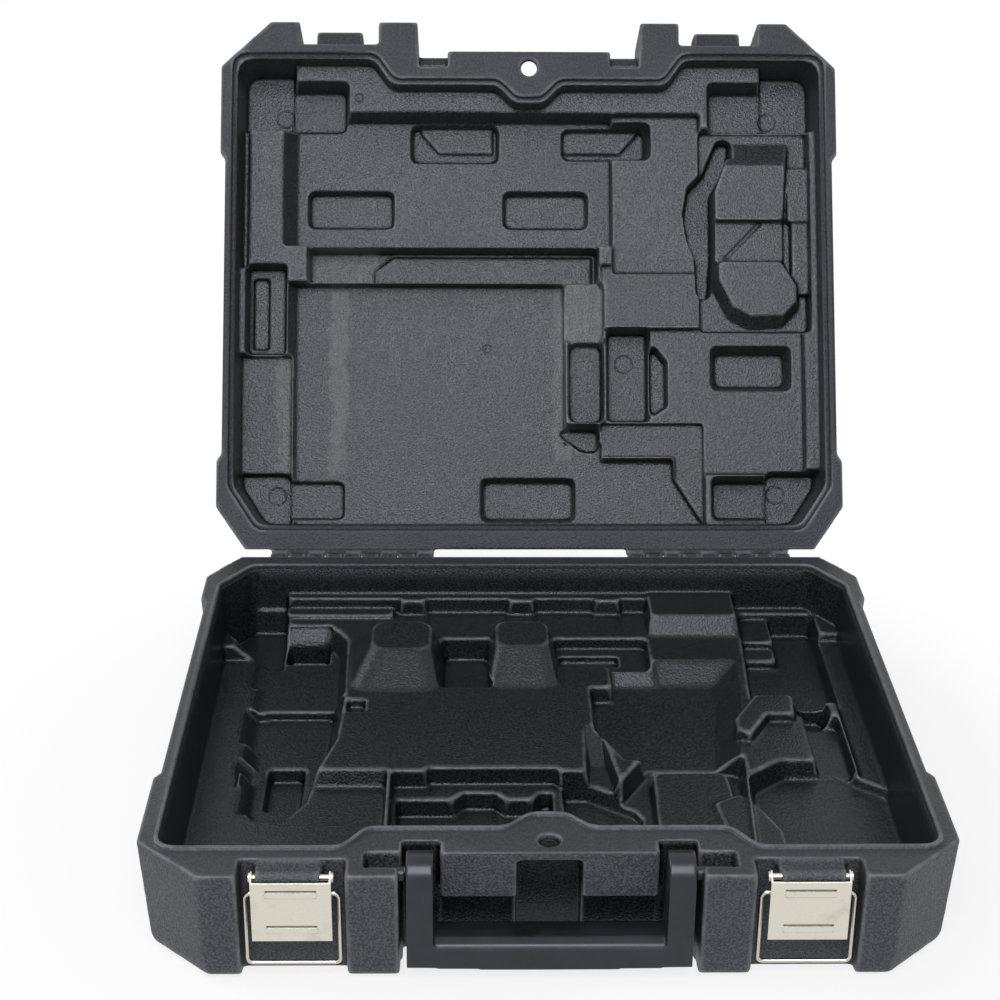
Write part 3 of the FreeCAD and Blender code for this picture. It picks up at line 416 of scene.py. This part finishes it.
def moulded_plastic(name, look, is_lid):
    """Black blow-moulded plastic: leather grain outside, finer satin grain in the tray, scuffs, and painted
    light and shade: a highlight band among the scuffs, highlights on convex edges, shade in concave creases
    and in the grain's hollows.
    """
    g = Graph(name)
    if is_lid:
        to_closed_lid(g)
    x, y, z = g.axes()
    depth = g.math("SUBTRACT", z, LID_RIM) if is_lid else g.math("SUBTRACT", BASE_RIM, z)
    tray, rim = tray_and_rim(g, x, y, depth, look["tray_depth"])
    smooth = g.math("MAXIMUM", tray, g.math("MULTIPLY", rim, RIM_SMOOTHNESS))

    specks = g.math("MULTIPLY", g.noise(SPECKS, 2), 0.8)
    pebbles = g.math("SUBTRACT", 1.3, g.math("ADD", g.cells(PEBBLES), specks))
    fine = g.noise(SATIN, 2, 0.55)
    cloud = g.noise(CLOUDS, 4, 0.6)
    height = g.mix(smooth, pebbles, g.math("MULTIPLY", fine, look["tray_grain"]))
    # Painted shade and light: the grain's hollows are coloured darker and its tops lighter, following the
    # bump's heights
    skin = g.blend(g.ramp(pebbles, 0.3, 0.75), *look["skin"])
    lining = g.blend(g.ramp(fine, 0.4, 0.62), *look["lining"])
    colour = g.blend(smooth, skin, lining)
    outer_rough = g.ramp(cloud, 0.3, 0.7, *look["outer_rough"])
    inner_rough = g.math("ADD", g.ramp(cloud, 0.3, 0.7, *look["inner_rough"]),
                         g.math("MULTIPLY", fine, look["grain_rough"]))

    # Painted highlight: convex edges, found by pointiness, are lightened, more in some places than in others
    # by a noise
    bent = g.node("ShaderNodeNewGeometry").outputs["Pointiness"]
    highlight_variation = g.ramp(g.noise(120, 3), 0.3, 0.6, 0.5, 1.0)
    colour = g.blend(g.math("MULTIPLY", g.ramp(bent, 0.506, 0.535), highlight_variation), colour, PAINTED_EDGE_HIGHLIGHT)
    # Painted shade: concave creases, found by pointiness, are darkened
    colour = g.blend(g.ramp(bent, 0.47, 0.494, 1.0, 0.0), colour, PAINTED_CREASE_SHADE)

    scuffs_and_highlight = g.math("MULTIPLY", g.ramp(g.noise(60, 6, 0.65), 0.58, 0.8), 0.12)
    if is_lid:
        scuffs_and_highlight = worn_and_highlight_patches(g, x, y, tray, scuffs_and_highlight)
    # Scuffs and the painted highlight band lighten the colour towards grey
    colour = g.blend(g.math("MULTIPLY", scuffs_and_highlight, SCUFF_AND_HIGHLIGHT_SHARE), colour, SCUFF_AND_HIGHLIGHT_GREY)
    if is_lid:
        lines = g.math("MULTIPLY", ring_lines(g, x, y), tray)
        height = g.math("SUBTRACT", height, g.math("MULTIPLY", lines, 1.5))
        colour = g.blend(lines, colour, RING_LINE)
    g.bump(height, GRAIN_STRENGTH, GRAIN_RELIEF)
    g.set(g.shader.inputs["Base Color"], colour)
    g.set(g.shader.inputs["Roughness"], g.mix(tray, outer_rough, inner_rough))
    g.set(g.shader.inputs["Specular IOR Level"], g.mix(tray, *look["shine"]))
    g.shader.inputs["Specular Tint"].default_value = COOL
    return g.material


def handle_plastic():
    """Smooth semi-gloss black with faint handling marks."""
    g = Graph("handle_plastic_look")
    cloud = g.noise(35, 4, 0.6)
    scratch = g.noise(1, 3, 0.6, g.stretched((40, 900, 900)))
    colour = g.blend(g.ramp(cloud, 0.35, 0.7), *HANDLE_BLACK)
    colour = g.blend(g.math("MULTIPLY", g.ramp(scratch, 0.62, 0.75), 0.2), colour, HANDLE_MARK)
    g.set(g.shader.inputs["Base Color"], colour)
    g.set(g.shader.inputs["Roughness"], g.ramp(cloud, 0.3, 0.7, 0.26, 0.36))
    g.shader.inputs["Specular Tint"].default_value = COOL
    g.bump(g.noise(700, 2), 0.12, 0.0003)
    return g.material


def plated_steel(name, tint, low, high, creases=()):
    """Nickel-plated steel with a fine grain along the piece, dull spots and painted shade in the creases at
    given heights.
    """
    g = Graph(name)
    grain = g.noise(1, 3, 0.5, g.stretched((120, 1800, 1800)))
    spots = g.noise(90, 5, 0.65)
    dull = tuple(c * 0.72 for c in tint[:3]) + (1,)
    colour = g.blend(g.math("MULTIPLY", g.ramp(spots, 0.5, 0.8), 0.6), tint, dull)
    x, _, z = g.axes()
    across = g.band(g.math("ABSOLUTE", x), *LEVER_RIBS_X, 0.0005)
    # Painted shade: a dark line along each crease of the levers' ribs
    for low_z, high_z, share in creases:
        line = g.math("MULTIPLY", g.band(z, low_z, high_z, 0.0003), across)
        colour = g.blend(g.math("MULTIPLY", line, share), colour, STEEL_CREASE_SHADE)
    g.set(g.shader.inputs["Base Color"], colour)
    g.set(g.shader.inputs["Roughness"], g.ramp(grain, 0.3, 0.7, low, high))
    g.shader.inputs["Metallic"].default_value = 1.0
    g.bump(grain, 0.08, 0.0002)
    return g.material


def dress(obj, material):
    obj.data.materials.clear()
    obj.data.materials.append(material)


dress(base_skin, moulded_plastic("base_plastic_look", BASE_LOOK, False))
dress(lid_skin, moulded_plastic("lid_plastic_look", LID_LOOK, True))
dress(handle_skin, handle_plastic())

# Painted shade in the creases along the levers' ribs: height from and to, in metres, and how dark they are
rib_crease_shades = [
    (0.0534, 0.0540, 0.9),
    (0.0497, 0.0499, 0.4),
    (0.0334, 0.0340, 0.9),
    (0.0297, 0.0299, 0.4),
]
lever_steel = plated_steel("lever_steel_look", LEVER_TINT, 0.22, 0.36, rib_crease_shades)
wire_steel = plated_steel("wire_steel_look", WIRE_TINT, 0.14, 0.26)
pin_steel = plated_steel("pin_steel_look", PIN_TINT, 0.3, 0.45)
for lever in levers:
    dress(lever, lever_steel)
for side in ("left", "right"):
    dress(nodes["latch_bail_" + side], wire_steel)
    dress(nodes["latch_pin_" + side], lever_steel)
    dress(nodes["hinge_pin_" + side], pin_steel)


# Floor, background, light and camera

FLOOR_HALF = 6
FLOOR_DROP = 0.0002
FLOOR_COLOUR = (0.85, 0.85, 0.85, 1)
WHITE = (1, 1, 1, 1)

# The floor shows its shadow near the object and turns plain white further out, in metres
SHADOW_REACH = (0.24, 0.36)
WHITE_SHARE = (0.8, 1.0)
WORLD_LIGHT = 0.3

# The camera fitted to the photograph
CAMERA_PLACE = (-0.0396, -0.9637, 0.6142)
CAMERA_YAW = math.radians(1.0)
CAMERA_PITCH = math.radians(24.27)
CAMERA_ROLL = math.radians(0.44)
CAMERA_LENS = 72.49
CAMERA_SENSOR = 36


def white_for_camera(tree, plain_socket, share):
    """Adds plain white for what the camera sees directly, in glossy and in clear surfaces."""
    path = tree.nodes.new("ShaderNodeLightPath")
    seen = path.outputs["Is Camera Ray"]
    for other in ("Is Glossy Ray", "Is Transmission Ray"):
        most = tree.nodes.new("ShaderNodeMath")
        most.operation = "MAXIMUM"
        tree.links.new(seen, most.inputs[0])
        tree.links.new(path.outputs[other], most.inputs[1])
        seen = most.outputs[0]
    part = tree.nodes.new("ShaderNodeMath")
    part.operation = "MULTIPLY"
    tree.links.new(seen, part.inputs[0])
    if isinstance(share, bpy.types.NodeSocket):
        tree.links.new(share, part.inputs[1])
    else:
        part.inputs[1].default_value = share
    mixed = tree.nodes.new("ShaderNodeMixShader")
    tree.links.new(part.outputs[0], mixed.inputs[0])
    tree.links.new(plain_socket, mixed.inputs[1])
    return mixed


def floor():
    bm = bmesh.new()
    bmesh.ops.create_grid(bm, x_segments=2, y_segments=2, size=FLOOR_HALF)
    mesh = bpy.data.meshes.new("floor")
    bm.to_mesh(mesh)
    bm.free()
    obj = bpy.data.objects.new("floor", mesh)
    scene.collection.objects.link(obj)
    obj.location.z = -FLOOR_DROP
    material = bpy.data.materials.new("floor_look")
    material.use_nodes = True
    tree = material.node_tree
    plain = tree.nodes["Principled BSDF"]
    plain.inputs["Base Color"].default_value = FLOOR_COLOUR
    plain.inputs["Roughness"].default_value = 0.9
    plain.inputs["Specular IOR Level"].default_value = 0.0
    glow = tree.nodes.new("ShaderNodeEmission")
    place = tree.nodes.new("ShaderNodeTexCoord")
    away = tree.nodes.new("ShaderNodeVectorMath")
    away.operation = "LENGTH"
    tree.links.new(place.outputs["Object"], away.inputs[0])
    share = tree.nodes.new("ShaderNodeMapRange")
    share.interpolation_type = "SMOOTHSTEP"
    for key, value in zip(("From Min", "From Max", "To Min", "To Max"), SHADOW_REACH + WHITE_SHARE):
        share.inputs[key].default_value = value
    tree.links.new(away.outputs["Value"], share.inputs["Value"])
    mixed = white_for_camera(tree, plain.outputs[0], share.outputs[0])
    tree.links.new(glow.outputs[0], mixed.inputs[2])
    tree.links.new(mixed.outputs[0], tree.nodes["Material Output"].inputs["Surface"])
    mesh.materials.append(material)


def world():
    made = bpy.data.worlds.new("studio")
    scene.world = made
    made.use_nodes = True
    tree = made.node_tree
    plain = tree.nodes["Background"]
    plain.inputs["Color"].default_value = WHITE
    plain.inputs["Strength"].default_value = WORLD_LIGHT
    white = tree.nodes.new("ShaderNodeBackground")
    white.inputs["Color"].default_value = WHITE
    mixed = white_for_camera(tree, plain.outputs[0], 1.0)
    tree.links.new(white.outputs[0], mixed.inputs[2])
    tree.links.new(mixed.outputs[0], tree.nodes["World Output"].inputs["Surface"])


def soft_light(name, place, target, size, power):
    data = bpy.data.lights.new(name, "AREA")
    data.energy = power
    data.size = size
    obj = bpy.data.objects.new(name, data)
    scene.collection.objects.link(obj)
    obj.location = place
    obj.rotation_euler = (Vector(target) - Vector(place)).to_track_quat("-Z", "Y").to_euler()


def camera():
    """Sets the fitted camera: yaw turns it to the right, pitch down, and roll about its own axis."""
    flat = math.cos(CAMERA_PITCH)
    forward = Vector((math.sin(CAMERA_YAW) * flat, math.cos(CAMERA_YAW) * flat, -math.sin(CAMERA_PITCH)))
    level = forward.cross(Vector((0, 0, 1))).normalized()
    above = level.cross(forward)
    right = level * math.cos(CAMERA_ROLL) + above * math.sin(CAMERA_ROLL)
    up = above * math.cos(CAMERA_ROLL) - level * math.sin(CAMERA_ROLL)
    data = bpy.data.cameras.new("camera")
    data.sensor_width = CAMERA_SENSOR
    data.lens = CAMERA_LENS
    obj = bpy.data.objects.new("camera", data)
    scene.collection.objects.link(obj)
    turn = Matrix((right, up, -forward)).transposed().to_4x4()
    obj.matrix_world = Matrix.Translation(CAMERA_PLACE) @ turn
    scene.camera = obj


floor()
world()
soft_light("key", (-0.15, -1.7, 2.0), (0, 0.15, 0.15), 1.6, 50)
soft_light("left", (-1.5, 0.3, 1.2), (0, 0.1, 0.1), 0.8, 10)
camera()
scene.view_settings.view_transform = "Standard"
